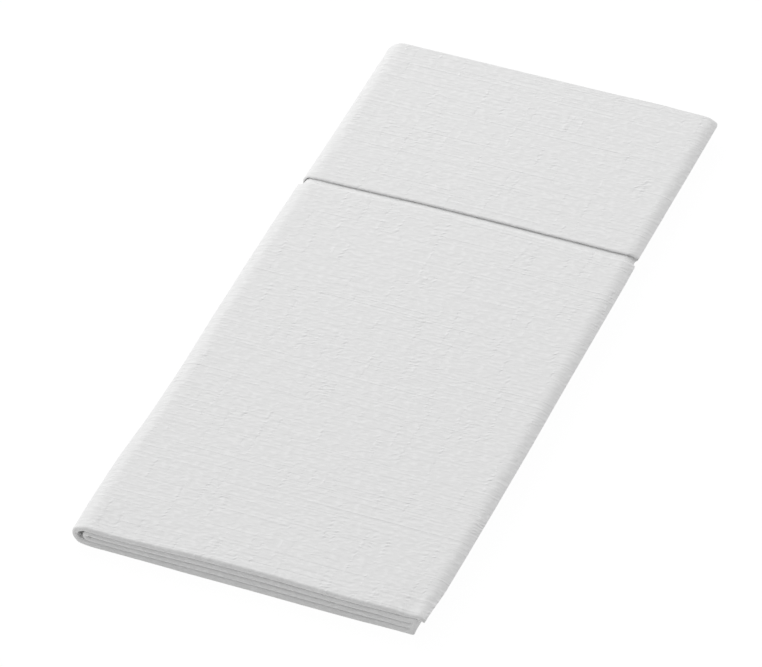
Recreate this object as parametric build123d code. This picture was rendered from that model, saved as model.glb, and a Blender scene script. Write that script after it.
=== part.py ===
from build123d import *
import math
import os

# A paper cutlery napkin, folded flat and lying on its back, in millimetres.
# One cut sheet is folded twice. The long way, its near end turns up into the
# front of a pocket, the pocket's rim is turned in as a hem, and its far end
# turns over as a short flap that stops just short of the rim. The folded strip
# is then rolled inwards across its width into four panels.
# X runs across the folded napkin and Y along it, from the closed near end to
# the closed far end. The origin is the middle of its box, on the table.

# Folded size
folded_width = 101.5
folded_length = 228.7

# The sheet
ply = 0.46
ply_gap = 0.16
panel_gap = 0.12

# The pocket and its flap, along Y
flap_length = 67.6
slit_width = 3.0
hem_depth = 25.5
flap_drop = 0.45

# The rolled folds, across X
left_fold_gap = 1.4
right_wall_inset = 3.6
wall_lean = 20.0
corner_radius = 0.06
shoulder_radius = 0.45
inner_fold_radius = 0.15
inner_end_gap = 0.12

# The free end of the top panel, which droops over the folds under it
droop_radius = 5.0
droop_angle = 28.0
tip_run = 1.4

# Levels in one panel, from the back of the sheet (below 0) to its front. A
# panel is three plies thick where the hem is turned in.
panel = 3 * ply + 2 * ply_gap
back_low = -panel / 2
back_high = back_low + ply
front_high = panel / 2
front_low = front_high - ply
hem_high = front_low - ply_gap
hem_low = hem_high - ply
flap_high = front_high - flap_drop
flap_low = flap_high - ply

# Radii of the three folds along the sheet, at its outer face
near_radius = panel / 2
far_radius = (flap_high - back_low) / 2
rim_radius = (front_high - hem_low) / 2

# Places along Y
flap_edge = folded_length - flap_length
rim = flap_edge - slit_width
near_centre = near_radius
far_centre = folded_length - far_radius
rim_centre = rim - rim_radius
hem_edge = rim - hem_depth


def folded_strip():
    """The sheet's section along its length, as one ribbon with three folds.

    Each fold is round outside and creased to a point inside.
    """
    far_level = (flap_high + back_low) / 2
    rim_level = (front_high + hem_low) / 2
    with BuildSketch() as strip:
        with BuildLine():
            Line((flap_edge, flap_high), (far_centre, flap_high))
            ThreePointArc(
                (far_centre, flap_high), (folded_length, far_level), (far_centre, back_low)
            )
            Line((far_centre, back_low), (near_centre, back_low))
            ThreePointArc((near_centre, back_low), (0, 0), (near_centre, front_high))
            Line((near_centre, front_high), (rim_centre, front_high))
            ThreePointArc((rim_centre, front_high), (rim, rim_level), (rim_centre, hem_low))
            Line((rim_centre, hem_low), (hem_edge, hem_low))
            Line((hem_edge, hem_low), (hem_edge, hem_high))
            Line((hem_edge, hem_high), (rim_centre, hem_high))
            Polyline(
                (rim_centre, hem_high), (rim - ply, rim_level), (rim_centre, front_low)
            )
            Line((rim_centre, front_low), (near_centre, front_low))
            Polyline((near_centre, front_low), (ply, 0), (near_centre, back_high))
            Line((near_centre, back_high), (far_centre, back_high))
            Polyline(
                (far_centre, back_high), (folded_length - ply, far_level), (far_centre, flap_low)
            )
            Line((far_centre, flap_low), (flap_edge, flap_low))
            Line((flap_edge, flap_low), (flap_edge, flap_high))
        make_face()
    return strip.sketch.face()


def roll_steps():
    """The roll's middle line: where it starts, and its turns and straights.

    A step is (length, 0) for a straight and (radius, degrees) for a turn. The
    line starts at the free tip of the top panel and heads for the left fold.
    """
    half = panel / 2
    inner_fold = half + inner_fold_radius
    corner = half + corner_radius
    shoulder = half + shoulder_radius
    bottom_level = half
    inner_level = bottom_level + panel + panel_gap
    upper_level = inner_level + 2 * inner_fold
    top_level = upper_level + panel + panel_gap
    left_fold = (top_level - bottom_level) / 2

    droop = math.radians(droop_angle)
    lean = math.radians(wall_lean)
    left_side = -folded_width / 2
    right_side = folded_width / 2
    left_centre = left_side + left_fold + half
    tip_x = right_side - half * math.sin(droop)
    tip_z = top_level - droop_radius * (1 - math.cos(droop)) - tip_run * math.sin(droop)
    droop_reach = droop_radius * math.sin(droop) + tip_run * math.cos(droop)
    top_run = tip_x - droop_reach - left_centre

    wall_foot = right_side - right_wall_inset
    corner_centre = wall_foot - (corner + half) * math.cos(lean)
    bottom_run = corner_centre - left_centre
    rise = upper_level - bottom_level
    wall_rise = rise - corner * (1 - math.sin(lean)) - shoulder * (1 + math.sin(lean))
    wall_run = wall_rise / math.cos(lean)
    shoulder_shift = (corner - shoulder) * math.cos(lean) + wall_run * math.sin(lean)
    shoulder_centre = corner_centre + shoulder_shift
    inner_centre = left_side + panel + left_fold_gap + inner_fold + half
    upper_run = shoulder_centre - inner_centre
    wall_face = wall_foot - panel / math.cos(lean) + (inner_level - half) * math.tan(lean)
    inner_run = wall_face - inner_end_gap - inner_centre
    steps = [
        (tip_run, 0),
        (droop_radius, droop_angle),
        (top_run, 0),
        (left_fold, 180),
        (bottom_run, 0),
        (corner, 90 - wall_lean),
        (wall_run, 0),
        (shoulder, 90 + wall_lean),
        (upper_run, 0),
        (inner_fold, 180),
        (inner_run, 0),
    ]
    return tip_x, tip_z, steps


def across_roll(heading):
    """The way ahead along the roll at a heading, and the way out of it."""
    angle = math.radians(heading)
    ahead = Vector(math.cos(angle), 0, math.sin(angle))
    return ahead, Vector(ahead.Z, 0, -ahead.X)


def rolled_sheet(strip):
    """The folded strip, carried along the roll's middle line."""
    x, z, steps = roll_steps()
    here = Vector(x, 0, z)
    heading = 180 - droop_angle
    pieces = []
    for size, turn in steps:
        ahead, outward = across_roll(heading)
        section = Plane(origin=here, x_dir=(0, 1, 0), z_dir=-ahead) * strip
        if turn:
            middle = here - outward * size
            pieces.append(revolve(section, Axis(middle, (0, -1, 0)), turn))
            heading += turn
            here = middle + across_roll(heading)[1] * size
        else:
            pieces.append(extrude(section, amount=size, dir=ahead))
            here = here + ahead * size
    return pieces[0] + pieces[1:]


def cut_size():
    """The flat sheet's width and length before folding, along its middle."""
    steps = roll_steps()[2]
    across = sum(math.radians(turn) * size if turn else size for size, turn in steps)
    folds = (near_radius, far_radius, rim_radius)
    along = sum(math.pi * (radius - ply / 2) for radius in folds)
    along += far_centre - flap_edge
    along += far_centre - near_centre
    along += rim_centre - near_centre
    along += rim_centre - hem_edge
    return across, along


napkin = rolled_sheet(folded_strip())
napkin = Pos(0, -folded_length / 2, 0) * napkin

os.makedirs("parts", exist_ok=True)
export_step(napkin, "parts/folded_napkin.step")

box = napkin.bounding_box()
across, along = cut_size()
print(f"folded size {box.size.X:.2f} x {box.size.Y:.2f} x {box.size.Z:.2f} mm")
print(f"cut sheet {across:.1f} x {along:.1f} mm, volume {napkin.volume:.0f} mm3")
print(f"solids {len(napkin.solids())}, faces {len(napkin.faces())}, valid {napkin.is_valid}")
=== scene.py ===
import math

import bmesh
import bpy
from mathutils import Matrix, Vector


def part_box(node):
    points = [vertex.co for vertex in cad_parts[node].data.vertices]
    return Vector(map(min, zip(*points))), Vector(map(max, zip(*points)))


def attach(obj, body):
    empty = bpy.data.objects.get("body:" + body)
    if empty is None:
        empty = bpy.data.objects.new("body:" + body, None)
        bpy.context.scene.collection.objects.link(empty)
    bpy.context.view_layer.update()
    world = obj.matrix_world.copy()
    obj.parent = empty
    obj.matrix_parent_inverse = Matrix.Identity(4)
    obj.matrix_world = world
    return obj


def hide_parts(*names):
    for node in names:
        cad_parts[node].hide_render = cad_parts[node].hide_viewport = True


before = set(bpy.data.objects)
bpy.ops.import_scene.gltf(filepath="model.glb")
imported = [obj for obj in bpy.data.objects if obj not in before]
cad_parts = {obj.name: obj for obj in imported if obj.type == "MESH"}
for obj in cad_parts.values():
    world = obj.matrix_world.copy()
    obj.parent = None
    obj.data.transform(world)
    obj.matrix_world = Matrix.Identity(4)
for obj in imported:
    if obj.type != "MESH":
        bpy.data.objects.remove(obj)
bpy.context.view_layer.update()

mm = 0.001
boxLow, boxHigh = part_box("folded_napkin")
foldedWidth = (boxHigh.x - boxLow.x) / mm
foldedLength = (boxHigh.y - boxLow.y) / mm
print("frame loaded, folded size", round(foldedWidth, 1), "x", round(foldedLength, 1), "mm")

# The sheet and its folds, in mm and degrees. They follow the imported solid, with some folds sharper
napkin = {
    "ply": 0.46,
    "plyGap": 0.16,
    "panelGap": 0.12,
    "flapLength": 67.6,
    "slitWidth": 3.0,
    "hemDepth": 25.5,
    "flapDrop": 0.42,
    "flapCurlRadius": 0.45,    # the flap's cut edge curls down
    "flapCurl": 65.0,
    "rimSlopeRadius": 2.0,     # and the rim's top slopes down towards it
    "rimSlope": 20.0,
    "leftFoldGap": 1.4,
    "rightWallInset": 3.6,
    "wallLean": 20.0,
    "cornerRadius": 0.06,
    "cornerCrease": 0.34,      # how much sharper the bottom right corner is pressed
    "shoulderRadius": 0.2,
    "shoulderCrease": 0.55,
    "innerFoldRadius": 0.1,
    "innerEndGap": 0.05,
    "innerEndLean": 5.0,       # length over which the inner end leans like the wall beside it
    "droopRadius": 5.0,
    "droopAngle": 28.0,
    "tipRun": 1.4,
    "divisionLength": 3.6,     # mesh spacing on the flat stretches
    "fewestOnFlat": 2,
    "degreesPerDivision": 11.0,
    "fewestOnFold": 4,
    "endCrowding": 0.8,        # how much closer the spacing gets beside a fold
    "slitMargin": 1.0,         # the mesh is finer behind the slit, and this far beyond it
    "slitDivisions": 6,
    "cutBevel": 0.07,
    "cutBevelSegments": 2,
    "cutAngle": 55.0,          # edges that turn more sharply than this are bevelled
}

panel = 3 * napkin["ply"] + 2 * napkin["plyGap"]
half = panel / 2


def divisionsFor(size, turn):
    if turn:
        return max(napkin["fewestOnFold"], math.ceil(abs(turn) / napkin["degreesPerDivision"]))
    return max(napkin["fewestOnFlat"], math.ceil(size / napkin["divisionLength"]))


def walkPath(start, heading, steps):
    # Stations along a folded line, crowded beside the folds: flat distance, place, heading and
    # how far a sharp crease there pushes the outer side out
    stations = [(0.0, Vector(start), heading, 0.0)]
    travelled = 0.0
    here = Vector(start)
    for size, turn, crease in steps:
        count = divisionsFor(size, turn)
        angle = math.radians(heading)
        ahead = Vector((math.cos(angle), math.sin(angle)))
        side = 1 if turn > 0 else -1
        middle = here + Vector((-ahead.y, ahead.x)) * size * side
        length = size * math.radians(abs(turn)) if turn else size
        for number in range(1, count + 1):
            share = number / count
            if turn:
                bend = math.radians(heading + turn * share)
                place = middle - Vector((-math.sin(bend), math.cos(bend))) * size * side
            else:
                share -= napkin["endCrowding"] * math.sin(2 * math.pi * share) / (2 * math.pi)
                place = here + ahead * size * share
            push = crease * math.sin(math.pi * number / count) ** 2
            stations.append((travelled + length * share, place, heading + turn * number / count, push))
        travelled += length
        heading += turn
        here = stations[-1][1]
    return stations


def rollStations():
    # Across the sheet: the middle of a panel, from the top panel's free edge inwards, in X and Z
    innerFold = half + napkin["innerFoldRadius"]
    corner = half + napkin["cornerRadius"]
    shoulder = half + napkin["shoulderRadius"]
    droop = math.radians(napkin["droopAngle"])
    lean = math.radians(napkin["wallLean"])
    leftSide = -foldedWidth / 2
    rightSide = foldedWidth / 2
    bottomLevel = half
    innerLevel = bottomLevel + panel + napkin["panelGap"]
    upperLevel = innerLevel + 2 * innerFold
    topLevel = upperLevel + panel + napkin["panelGap"]
    leftFold = (topLevel - bottomLevel) / 2
    leftCentre = leftSide + leftFold + half
    droopRadius = napkin["droopRadius"]
    tipRun = napkin["tipRun"]
    tipX = rightSide - half * math.sin(droop)
    tipZ = topLevel - droopRadius * (1 - math.cos(droop)) - tipRun * math.sin(droop)
    topRun = tipX - droopRadius * math.sin(droop) - tipRun * math.cos(droop) - leftCentre
    wallFoot = rightSide - napkin["rightWallInset"]
    cornerCentre = wallFoot - (corner + half) * math.cos(lean)
    rise = upperLevel - bottomLevel
    wallRise = rise - corner * (1 - math.sin(lean)) - shoulder * (1 + math.sin(lean))
    wallRun = wallRise / math.cos(lean)
    shoulderCentre = cornerCentre + (corner - shoulder) * math.cos(lean) + wallRun * math.sin(lean)
    innerCentre = leftSide + panel + napkin["leftFoldGap"] + innerFold + half
    innerEnd = wallFoot - panel / math.cos(lean) + innerLevel * math.tan(lean) - napkin["innerEndGap"]
    steps = [
        (tipRun, 0, 0),
        (droopRadius, napkin["droopAngle"], 0),
        (topRun, 0, 0),
        (leftFold, 180, 0),
        (cornerCentre - leftCentre, 0, 0),
        (corner, 90 - napkin["wallLean"], napkin["cornerCrease"]),
        (wallRun, 0, 0),
        (shoulder, 90 + napkin["wallLean"], napkin["shoulderCrease"]),
        (shoulderCentre - innerCentre, 0, 0),
        (innerFold, 180, 0),
        (innerEnd - innerCentre, 0, 0),
    ]
    return walkPath((tipX, tipZ), 180 - napkin["droopAngle"], steps)


def stripStations():
    # Along the sheet: the middle of the ply, from the flap's cut edge to the hem's, in Y and level
    ply = napkin["ply"]
    frontLevel = half - ply / 2
    hemLevel = frontLevel - ply - napkin["plyGap"]
    flapLevel = frontLevel - napkin["flapDrop"]
    nearFold = frontLevel
    curlRadius = napkin["flapCurlRadius"]
    curl = math.radians(napkin["flapCurl"])
    slopeRadius = napkin["rimSlopeRadius"]
    slope = math.radians(napkin["rimSlope"])
    rimFold = (frontLevel - hemLevel - slopeRadius * (1 - math.cos(slope))) / (1 + math.cos(slope))
    farFold = (flapLevel + frontLevel) / 2
    flapEdge = foldedLength - napkin["flapLength"]
    rim = flapEdge - napkin["slitWidth"]
    farCentre = foldedLength - ply / 2 - farFold
    nearCentre = half
    rimCentre = rim - ply / 2 - rimFold
    slopeStart = rimCentre - (slopeRadius - rimFold) * math.sin(slope)
    hemEdge = rim - napkin["hemDepth"]
    behindSlit = napkin["slitWidth"] + 2 * napkin["slitMargin"]
    slitDivisions = napkin["slitDivisions"]
    steps = [
        (curlRadius, -napkin["flapCurl"], 0),
        (farCentre - flapEdge - curlRadius * math.sin(curl), 0, 0),
        (farFold, -180, 0),
        (farCentre - flapEdge - napkin["slitMargin"], 0, 0),
        *[(behindSlit / slitDivisions, 0, 0)] * slitDivisions,
        (rim - napkin["slitMargin"] - nearCentre, 0, 0),
        (nearFold, -180, 0),
        (slopeStart - nearCentre, 0, 0),
        (slopeRadius, -napkin["rimSlope"], 0),
        (rimFold, napkin["rimSlope"] - 180, 0),
        (rimCentre - hemEdge, 0, 0),
    ]
    start = (flapEdge, flapLevel - curlRadius * (1 - math.cos(curl)))
    return walkPath(start, napkin["flapCurl"], steps)


def smoothStep(value, low, high):
    share = min(max((value - low) / (high - low), 0.0), 1.0)
    return share * share * (3 - 2 * share)


# How the paper has settled away from the drawn folds. Marks are (place, move), all in mm
settling = {
    # the left side moves right and the right side left, by place along Y
    "leftPull": [
        (-114, -0.15), (-102, -0.38), (-86, -0.45), (-60, 0.34), (-45, 0.42), (-13, -0.12), (5, -0.35),
        (25, -0.5), (44, -0.45), (60, -0.38), (84, -0.4), (101, -0.55), (114, -0.6),
    ],
    "leftPullReach": 30.0,
    "rightPull": [
        (-114, 0.55), (-100, 0.2), (-85, 0.03), (-65, -0.12), (-40, -0.2), (-13, -0.1), (34, -0.15),
        (42.4, -0.05), (43.3, 0.15), (44, 0.55), (46.4, 0.6), (46.75, 0.15), (50, 0.12), (70, 0.0),
        (90, -0.15), (114, -0.25),
    ],
    "rightPullReach": 9.0,
    # the slit bows towards the far end, by place along X
    "slitBow": [
        (-51, 0.9), (-50.2, 0.5), (-49.2, -0.2), (-36, -0.08), (-26, 0.14), (-14, 0.48), (0, 0.48),
        (11, 0.44), (23, 0.3), (35, 0.22), (43, 0.08), (47, 0.2), (50.75, 0.4),
    ],
    "slitBowReach": 40.0,
    # and gapes at both its ends
    "slitGape": [
        (-51, -0.1), (-50.2, 0), (-49.6, 0.4), (-48.4, 0.45), (-46.6, -0.05), (46, -0.05), (49, 0.2),
        (51, 0.2),
    ],
    "slitGapeReach": 9.0,
    # the rim moves back from the flap. Below 0 it moves towards it, as it does all but at the right
    "rimBack": [
        (-51, 0), (-50.2, -0.3), (-49.6, -0.3), (-48.4, -0.3), (-45.8, -0.35), (-36.7, -0.4), (-26, -0.55),
        (-14, -0.6), (-1.6, -0.65), (10.6, -0.6), (23, -0.4), (35, 0.1), (43, 0.3), (51, 0),
    ],
    "rimBackReach": 40.0,
    # the flap's cut edge lifts near both its ends, and lies lowest beside the left one
    "flapLift": [
        (-51, 0), (-49.6, 0.03), (-48.4, 0.12), (-46.6, -0.12), (-40, -0.08), (-15, -0.06), (10, -0.04),
        (46, -0.03), (49, 0.04), (50.75, 0.1),
    ],
    "flapLiftReach": 12.0,
    # the near end wanders, the top panel in its own way and the bottom one in another
    "nearTop": [
        (-50.75, 0.5), (-49.5, -0.1), (-43, -0.3), (-35, -0.4), (-27, -0.15), (-16, 0.2), (-4, 0.3),
        (7, 0.3), (18, 0), (30, -0.25), (38, -0.15), (47, 0), (50.5, 0.3),
    ],
    "nearBottom": [
        (-45, 0.6), (-40, 0.65), (-33, 0.6), (-26, 0.5), (-19, 0.3), (0, 0.2), (15, 0), (24, -0.05),
        (33, -0.05), (37, 0.1), (40, 0.3), (51, 0.2),
    ],
    "nearReach": 30.0,
    # the top panel sinks a little at its near left corner
    "nearSink": [(-51, 0.2), (-42, 0.45), (-30, 0.35), (-12, 0)],
    "nearSinkReach": 14.0,
    # but it droops less at its near right corner, where the fold is stiff
    "cornerLift": [(44, 0), (50.75, 0.8)],
    "cornerLiftAbove": (0.5, 4.5),
    "cornerLiftReach": 14.0,
    # and is pressed thinner there, by distance from the free edge and from the near end
    "cornerPress": 0.42,
    "cornerPressAcross": (3.0, 11.0),
    "cornerPressReach": 16.0,
    # the table presses the lowest fold flat, over its height and length
    "tableFlat": 0.5,
    "tableFlatReach": 2.4,
    # the far end wanders a little, by place along X
    "farEnd": [(-51, 0.4), (-35, 0.35), (5, 0.28), (15, 0.2), (33, 0.45), (40, 0.15), (51, -0.05)],
    "farEndReach": 25.0,
    # the inner fold stays a little open, around its place in X and Z
    "innerOpen": 0.2,
    "innerOpenAt": (-45.6, 3.62),
    "innerOpenReach": (1.6, 1.6),
    # the lower folds are pressed flat beside the right wall, by place along X
    "pressedFlat": [(34, 0), (42, 0.7), (51, 0.7)],
    "pressedBelow": (5.4, 5.8),
    "pressedReach": 8.0,
    # the left fold is slack below and slopes away above, by distance from the left side
    "leftLift": [(0, 0), (2.0, 0.45), (3.0, 0.42), (4.4, 0.19), (6.0, 0.08), (9.0, 0)],
    "leftDrop": [(0, 0.45), (1.9, 0.66), (4.9, 0)],
    # the far corners are rounder than a plain fold leaves them, over a length and a width
    "farCorner": 1.1,
    "farCornerLength": 2.2,
    "farCornerWidth": 8.0,
}


def betweenMarks(marks, place):
    if place <= marks[0][0]:
        return marks[0][1]
    for (fromPlace, fromMove), (toPlace, toMove) in zip(marks, marks[1:]):
        if place <= toPlace:
            return fromMove + (toMove - fromMove) * smoothStep(place, fromPlace, toPlace)
    return marks[-1][1]


def settle(x, y, z):
    # Smooth moves of places, in mm, so that plies never cross
    height = (boxHigh.z - boxLow.z) / mm
    leftSide = -foldedWidth / 2
    rightSide = foldedWidth / 2
    farEnd = foldedLength / 2
    share = z / height
    fromLeft = x - leftSide
    leftShare = 1 - smoothStep(x, leftSide, leftSide + settling["leftPullReach"])
    rightShare = smoothStep(x, rightSide - settling["rightPullReach"], rightSide)
    moveX = betweenMarks(settling["leftPull"], y) * leftShare
    moveX -= betweenMarks(settling["rightPull"], y) * rightShare
    intoFar = max(0.0, y - farEnd + settling["farCornerLength"]) / settling["farCornerLength"]
    cornerShare = smoothStep(abs(x), rightSide - settling["farCornerWidth"], rightSide)
    moveX -= math.copysign(settling["farCorner"] * intoFar ** 2 * cornerShare, x)
    nearShare = 1 - smoothStep(y, -farEnd, -farEnd + settling["nearReach"])
    topMove = betweenMarks(settling["nearTop"], x)
    bottomMove = betweenMarks(settling["nearBottom"], x)
    moveY = (bottomMove + (topMove - bottomMove) * share) * nearShare
    farShare = smoothStep(y, farEnd - settling["farEndReach"], farEnd)
    moveY += betweenMarks(settling["farEnd"], x) * farShare
    slit = farEnd - napkin["flapLength"]
    slitShare = 1 - smoothStep(abs(y - slit), 0, settling["slitBowReach"])
    moveY += betweenMarks(settling["slitBow"], x) * slitShare
    gapeShare = 1 - smoothStep(abs(y - slit), 0, settling["slitGapeReach"])
    gape = betweenMarks(settling["slitGape"], x) * gapeShare
    moveY += math.copysign(gape, y - slit + napkin["slitWidth"] / 2)
    fromRim = y - slit + napkin["slitWidth"]
    backReach = settling["rimBackReach"] if fromRim < 0 else napkin["slitWidth"]
    moveY -= betweenMarks(settling["rimBack"], x) * (1 - smoothStep(abs(fromRim), 0, backReach))
    fromNear = y + farEnd
    pressed = betweenMarks(settling["pressedFlat"], x) * (1 - smoothStep(z, *settling["pressedBelow"]))
    pressed *= 1 - smoothStep(fromNear, half, settling["pressedReach"])
    moveY -= pressed * min(fromNear, half)
    moveZ = betweenMarks(settling["leftLift"], fromLeft) * (1 - share)
    moveZ -= betweenMarks(settling["leftDrop"], fromLeft) * share
    sinkShare = 1 - smoothStep(fromNear, 0, settling["nearSinkReach"])
    moveZ -= betweenMarks(settling["nearSink"], x) * share * sinkShare
    lift = betweenMarks(settling["cornerLift"], x) * smoothStep(z, *settling["cornerLiftAbove"])
    moveZ += lift * (1 - smoothStep(fromNear, 0, settling["cornerLiftReach"]))
    lowShare = math.sin(math.pi * min(z / panel, 1.0)) ** 2
    moveZ -= settling["tableFlat"] * lowShare * (1 - smoothStep(fromNear, 0, settling["tableFlatReach"]))
    openX, openZ = settling["innerOpenAt"]
    reachX, reachZ = settling["innerOpenReach"]
    openShare = (1 - smoothStep(abs(x - openX), 0, reachX)) * (1 - smoothStep(abs(z - openZ), 0, reachZ))
    moveZ += math.copysign(settling["innerOpen"], z - openZ) * openShare
    return Vector((x + moveX, y + moveY, max(z + moveZ, napkin["ply"] / 2)))


def addObject(name, data):
    made = bpy.data.objects.new(name, data)
    bpy.context.collection.objects.link(made)
    return made


def meshObject(name, mesh):
    data = bpy.data.meshes.new(name)
    mesh.to_mesh(data)
    mesh.free()
    return addObject(name, data)


def makeNapkin():
    # A flat grid, each point carried to its place in the folded sheet and then settled
    roll = rollStations()
    strip = stripStations()
    flatWidth = roll[-1][0]
    flatLength = strip[-1][0]
    mesh = bmesh.new()
    uvLayer = mesh.loops.layers.uv.new("flatSheet")
    columns = len(roll) - 1
    rows = len(strip) - 1
    bmesh.ops.create_grid(mesh, x_segments=columns, y_segments=rows, size=1.0)
    flatPlaces = {}
    for vert in mesh.verts:
        column = round((vert.co.x + 1) / 2 * columns)
        row = round((vert.co.y + 1) / 2 * rows)
        across, middle, heading, crease = roll[column]
        along, (y, level) = strip[row][:2]
        angle = math.radians(heading)
        liftShare = 1 - smoothStep(along, 0, settling["flapLiftReach"])
        level += betweenMarks(settling["flapLift"], middle.x) * liftShare
        press = settling["cornerPress"] * (1 - smoothStep(across, *settling["cornerPressAcross"]))
        press *= 1 - smoothStep(y, 0, settling["cornerPressReach"])
        level -= press * (level + half)
        outwards = level + crease * (level + half) / panel
        x = middle.x + math.sin(angle) * outwards
        leaning = smoothStep(across, flatWidth - napkin["innerEndLean"], flatWidth)
        x -= leaning * level * math.tan(math.radians(napkin["wallLean"]))
        z = middle.y - math.cos(angle) * outwards
        flatPlaces[vert] = (across, along)
        vert.co = settle(x, y - foldedLength / 2, z) * mm
    for face in mesh.faces:
        for loop in face.loops:
            across, along = flatPlaces[loop.vert]
            loop[uvLayer].uv = (across * mm, along * mm)
        face.smooth = True
    piece = meshObject("paperNapkin", mesh)
    thick = piece.modifiers.new("plyThickness", "SOLIDIFY")
    thick.thickness = napkin["ply"] * mm
    thick.offset = 0.0
    thick.use_quality_normals = True
    edge = piece.modifiers.new("cutEdge", "BEVEL")
    edge.width = napkin["cutBevel"] * mm
    edge.segments = napkin["cutBevelSegments"]
    edge.limit_method = "ANGLE"
    edge.angle_limit = math.radians(napkin["cutAngle"])
    edge.harden_normals = True
    return piece, flatWidth * mm, flatLength * mm


def toLinear(hexColour):
    parts = [int(hexColour[place:place + 2], 16) / 255 for place in (1, 3, 5)]
    linear = [part / 12.92 if part <= 0.04045 else ((part + 0.055) / 1.055) ** 2.4 for part in parts]
    return (*linear, 1.0)


def addNode(tree, kind, settings=(), links=()):
    # One node: settings are (name, value) pairs, links are (input, source socket) pairs
    node = tree.nodes.new(kind)
    for name, value in settings:
        if isinstance(name, int) or name in node.inputs:
            node.inputs[name].default_value = value
        else:
            setattr(node, name, value)
    for name, source in links:
        tree.links.new(source, node.inputs[name])
    return node


def emptyTree(owner):
    owner.use_nodes = True
    owner.node_tree.nodes.clear()
    return owner.node_tree


def addMath(tree, operation, *values):
    node = addNode(tree, "ShaderNodeMath", [("operation", operation)])
    for place, value in enumerate(values):
        if isinstance(value, (int, float)):
            node.inputs[place].default_value = value
        else:
            tree.links.new(value, node.inputs[place])
    return node.outputs[0]


# Linen emboss, in mm on the flat sheet. A pair of sizes is across the sheet, then along it
paper = {
    "colour": "#F6F6F6",
    # the emboss's valleys get this darker colour: painted shade
    "paintedValleyShade": "#F1F1F1",
    "toneFrom": 0.5,            # how far up the dashes the valleys' painted shade gives way
    "toneTo": 0.75,             # to the ridges' lighter colour, the paper's own
    "roughness": 0.95,
    "specular": 0.2,
    "waverSize": 5.0,
    "waverDetail": 1.0,
    "waver": 2.0,               # how far the dashes wander from straight
    "dash": (1.8, 0.84),        # short dashes lie across, like the thick threads of linen
    "dashSeed": 3.1,
    "dashTurn": -14.0,          # degrees that they lie askew
    "dashHeight": 0.067,
    "dashMiddle": 0.5,
    "thread": (40.0, 0.9),      # and straight ones run right between them
    "threadSeed": 7.7,
    "threadHeight": 0.074,
    "cockle": (4.4, 3.4),       # the paper is softly uneven
    "cockleSeed": 1.3,
    "cockleDetail": 1.0,
    "cockleHeight": 0.15,
    "slubAcross": (60.0, 1.0),  # a few threads are thick: those that lie across stand up
    "slubAcrossSeed": 12.4,
    "slubHeight": 0.05,
    "slubAlong": (1.5, 18.0),   # and where one runs along, the dashes stand higher
    "slubAlongSeed": 5.2,
    "slubDashHeight": 0.22,
    "slubFrom": 0.64,           # how much of its noise is a slub
    "slubTo": 0.86,
    "seedSlope": 0.7,           # a seed moves the noise this much along for each mm across
}


def streaks(tree, flat, seed, size, detail=0.0, turn=0.0):
    # Noise stretched to a size across and a size along, and turned
    place = (seed, seed * paper["seedSlope"], 0)
    stretch = addNode(tree, "ShaderNodeMapping",
                      [("vector_type", "TEXTURE"), ("Location", place),
                       ("Rotation", (0, 0, math.radians(turn))), ("Scale", (*size, 1))],
                      [("Vector", flat)])
    noise = addNode(tree, "ShaderNodeTexNoise",
                    [("noise_dimensions", "2D"), ("Scale", 1.0), ("Detail", detail)],
                    [("Vector", stretch.outputs[0])])
    return noise.outputs["Fac"]


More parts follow.
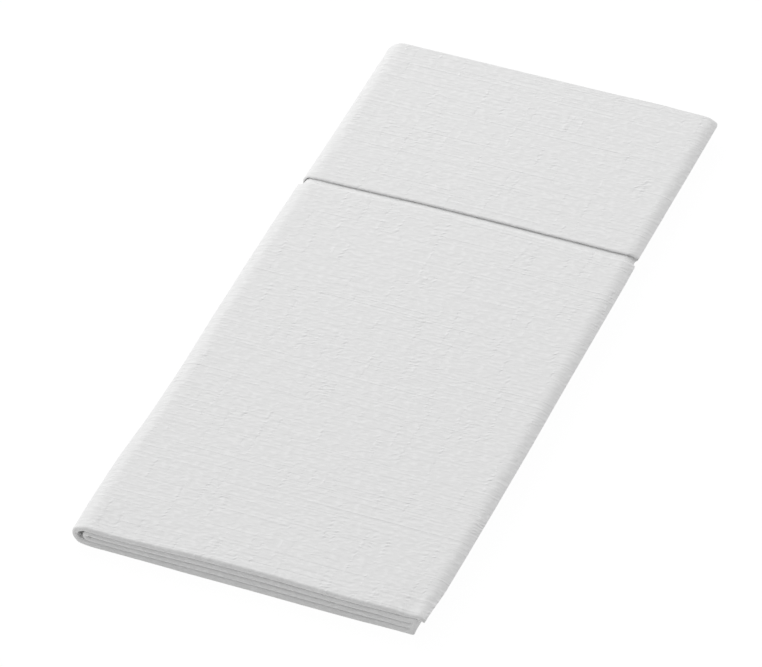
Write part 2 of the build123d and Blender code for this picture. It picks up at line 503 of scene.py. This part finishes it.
def makePaper():
    # Airlaid paper, linen-embossed between rollers: soft and matt. The light picks out fine wavy
    # dashes across it, straight threads between them and a few slubs both ways, and the valleys
    # are painted a little darker than the ridges, as painted shade
    material = bpy.data.materials.new("airlaidPaperLinenEmbossed")
    tree = emptyTree(material)
    sheet = addNode(tree, "ShaderNodeUVMap", [("uv_map", "flatSheet")])
    inMm = addNode(tree, "ShaderNodeMapping", [("Scale", (1 / mm, 1 / mm, 1))],
                   [("Vector", sheet.outputs[0])])
    flat = inMm.outputs[0]
    waver = addNode(tree, "ShaderNodeTexNoise",
                    [("noise_dimensions", "2D"), ("Scale", 1 / paper["waverSize"]),
                     ("Detail", paper["waverDetail"])],
                    [("Vector", flat)])
    reach = paper["waver"]
    wavy = addNode(tree, "ShaderNodeVectorMath", [("operation", "MULTIPLY_ADD"), (1, (reach, reach, 0))],
                   [(0, waver.outputs["Color"]), (2, flat)]).outputs[0]
    dashes = streaks(tree, wavy, paper["dashSeed"], paper["dash"], turn=paper["dashTurn"])
    height = addMath(tree, "MULTIPLY", dashes, paper["dashHeight"])
    thread = streaks(tree, flat, paper["threadSeed"], paper["thread"])
    height = addMath(tree, "MULTIPLY_ADD", thread, paper["threadHeight"], height)
    cockle = streaks(tree, wavy, paper["cockleSeed"], paper["cockle"], paper["cockleDetail"])
    height = addMath(tree, "MULTIPLY_ADD", cockle, paper["cockleHeight"], height)
    slubs = []
    for name in ("slubAcross", "slubAlong"):
        noise = streaks(tree, flat, paper[name + "Seed"], paper[name])
        ramp = addNode(tree, "ShaderNodeMapRange",
                       [("interpolation_type", "SMOOTHSTEP"), ("From Min", paper["slubFrom"]),
                        ("From Max", paper["slubTo"])],
                       [("Value", noise)])
        slubs.append(ramp.outputs[0])
    height = addMath(tree, "MULTIPLY_ADD", slubs[0], paper["slubHeight"], height)
    beads = addMath(tree, "MULTIPLY", slubs[1], addMath(tree, "SUBTRACT", dashes, paper["dashMiddle"]))
    height = addMath(tree, "MULTIPLY_ADD", beads, paper["slubDashHeight"], height)
    bump = addNode(tree, "ShaderNodeBump", [("Strength", 1.0), ("Distance", mm)], [("Height", height)])
    tone = addNode(tree, "ShaderNodeMapRange",
                   [("From Min", paper["toneFrom"]), ("From Max", paper["toneTo"])],
                   [("Value", dashes)])
    # Sockets 6 and 7 of this node are its two colours, and 2 is the colour that comes out
    # The low parts of the dashes take the painted shade, the high parts the paper's own colour
    paintedShade = toLinear(paper["paintedValleyShade"])
    ridge = toLinear(paper["colour"])
    colour = addNode(tree, "ShaderNodeMix", [("data_type", "RGBA"), (6, paintedShade), (7, ridge)],
                     [(0, tone.outputs[0])])
    shader = addNode(tree, "ShaderNodeBsdfPrincipled",
                     [("Roughness", paper["roughness"]), ("Specular IOR Level", paper["specular"])],
                     [("Base Color", colour.outputs[2]), ("Normal", bump.outputs[0])])
    addNode(tree, "ShaderNodeOutputMaterial", (), [("Surface", shader.outputs[0])])
    return material


studio = {
    "floorSize": 6.0,
    "floorColour": "#BEBEBE",
    "floorGlow": 0.36,             # the table is lit from below
    "floorSeen": 0.96,             # and glows this bright to the camera
    "floorShadowPart": 0.06,       # while it returns this much of the room's light
    "even": 0.615,                 # light from everywhere
    "horizon": 0.42,               # share of it that is left at the horizon
    "horizonFrom": -0.05,          # up to this height of its direction
    "horizonTo": 0.45,             # and all of it is there from this one up
    "lean": (-0.29, 0.32, 0.13),   # how much more comes from the left, behind and above
    "lampSize": 0.9,
    "lampPower": 4.2,
    "lampDistance": 1.2,
    "lampAzimuth": 140.0,          # from +X towards +Y
    "lampElevation": 38.0,
}


def makeFloor():
    mesh = bmesh.new()
    bmesh.ops.create_grid(mesh, x_segments=1, y_segments=1, size=studio["floorSize"] / 2)
    floor = meshObject("studioFloor", mesh)
    # A light table of white acrylic: it fills the shadows from below, and is seen white
    material = bpy.data.materials.new("opalAcrylicLightTable")
    tree = emptyTree(material)
    path = addNode(tree, "ShaderNodeLightPath").outputs
    seen = addMath(tree, "MAXIMUM", path["Is Camera Ray"], path["Is Glossy Ray"])
    seen = addMath(tree, "MAXIMUM", seen, path["Is Transmission Ray"])
    acrylic = addNode(tree, "ShaderNodeBsdfDiffuse", [("Color", toLinear(studio["floorColour"]))])
    below = addNode(tree, "ShaderNodeEmission", [("Strength", studio["floorGlow"])])
    board = addNode(tree, "ShaderNodeAddShader", (), [(0, acrylic.outputs[0]), (1, below.outputs[0])])
    part = studio["floorShadowPart"]
    shadow = addNode(tree, "ShaderNodeBsdfDiffuse", [("Color", (part, part, part, 1.0))])
    glow = addNode(tree, "ShaderNodeEmission", [("Strength", studio["floorSeen"])])
    white = addNode(tree, "ShaderNodeAddShader", (), [(0, shadow.outputs[0]), (1, glow.outputs[0])])
    mixed = addNode(tree, "ShaderNodeMixShader", (),
                    [(0, seen), (1, board.outputs[0]), (2, white.outputs[0])])
    addNode(tree, "ShaderNodeOutputMaterial", (), [("Surface", mixed.outputs[0])])
    floor.data.materials.append(material)
    return floor


def makeLight():
    # A softbox all round, brighter from the left and from behind
    world = bpy.data.worlds.new("softStudio")
    bpy.context.scene.world = world
    tree = emptyTree(world)
    way = addNode(tree, "ShaderNodeTexCoord").outputs["Generated"]
    lean = addNode(tree, "ShaderNodeVectorMath", [("operation", "DOT_PRODUCT"), (1, studio["lean"])],
                   [(0, way)])
    level = addMath(tree, "ADD", lean.outputs["Value"], studio["even"])
    height = addNode(tree, "ShaderNodeSeparateXYZ", (), [(0, way)]).outputs[2]
    low = addNode(tree, "ShaderNodeMapRange",
                  [("interpolation_type", "SMOOTHSTEP"), ("From Min", studio["horizonFrom"]),
                   ("From Max", studio["horizonTo"]), ("To Min", studio["horizon"]), ("To Max", 1.0)],
                  [("Value", height)])
    level = addMath(tree, "MULTIPLY", level, low.outputs[0])
    seen = addNode(tree, "ShaderNodeLightPath").outputs["Is Camera Ray"]
    level = addMath(tree, "MAXIMUM", level, seen)
    sky = addNode(tree, "ShaderNodeBackground", [("Color", (1.0, 1.0, 1.0, 1.0))], [("Strength", level)])
    addNode(tree, "ShaderNodeOutputWorld", (), [("Surface", sky.outputs[0])])
    data = bpy.data.lights.new("softboxLeftBehind", "AREA")
    data.shape = "DISK"
    data.size = studio["lampSize"]
    data.energy = studio["lampPower"]
    azimuth = math.radians(studio["lampAzimuth"])
    elevation = math.radians(studio["lampElevation"])
    flat = math.cos(elevation)
    way = Vector((math.cos(azimuth) * flat, math.sin(azimuth) * flat, math.sin(elevation)))
    lamp = addObject("softboxLeftBehind", data)
    lamp.location = way * studio["lampDistance"]
    lamp.rotation_mode = "QUATERNION"
    lamp.rotation_quaternion = way.to_track_quat("Z", "Y")


view = {
    "lens": 285.5,
    "sensor": 36.0,
    "clip": (0.1, 20.0),
    "azimuth": 21.71,              # from -Y towards +X
    "elevation": 39.74,
    "distance": 1.6668,
    "target": (-0.00679, -0.0032, 0.0),
}


def makeCamera():
    data = bpy.data.cameras.new("viewCamera")
    data.lens = view["lens"]
    data.sensor_width = view["sensor"]
    data.clip_start, data.clip_end = view["clip"]
    camera = addObject("viewCamera", data)
    azimuth = math.radians(view["azimuth"])
    elevation = math.radians(view["elevation"])
    flat = math.cos(elevation)
    back = Vector((math.sin(azimuth) * flat, -math.cos(azimuth) * flat, math.sin(elevation)))
    camera.location = Vector(view["target"]) + back * view["distance"]
    camera.rotation_mode = "QUATERNION"
    camera.rotation_quaternion = (-back).to_track_quat("-Z", "Y")
    bpy.context.scene.camera = camera


makeCamera()
makeLight()
floor = makeFloor()
piece, flatWidth, flatLength = makeNapkin()
piece.data.materials.append(makePaper())
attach(piece, "root")
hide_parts("folded_napkin")
bpy.context.scene.view_settings.view_transform = "Standard"
bpy.context.view_layer.update()
print("napkin folded from a sheet", round(flatWidth, 4), "x", round(flatLength, 4), "m")
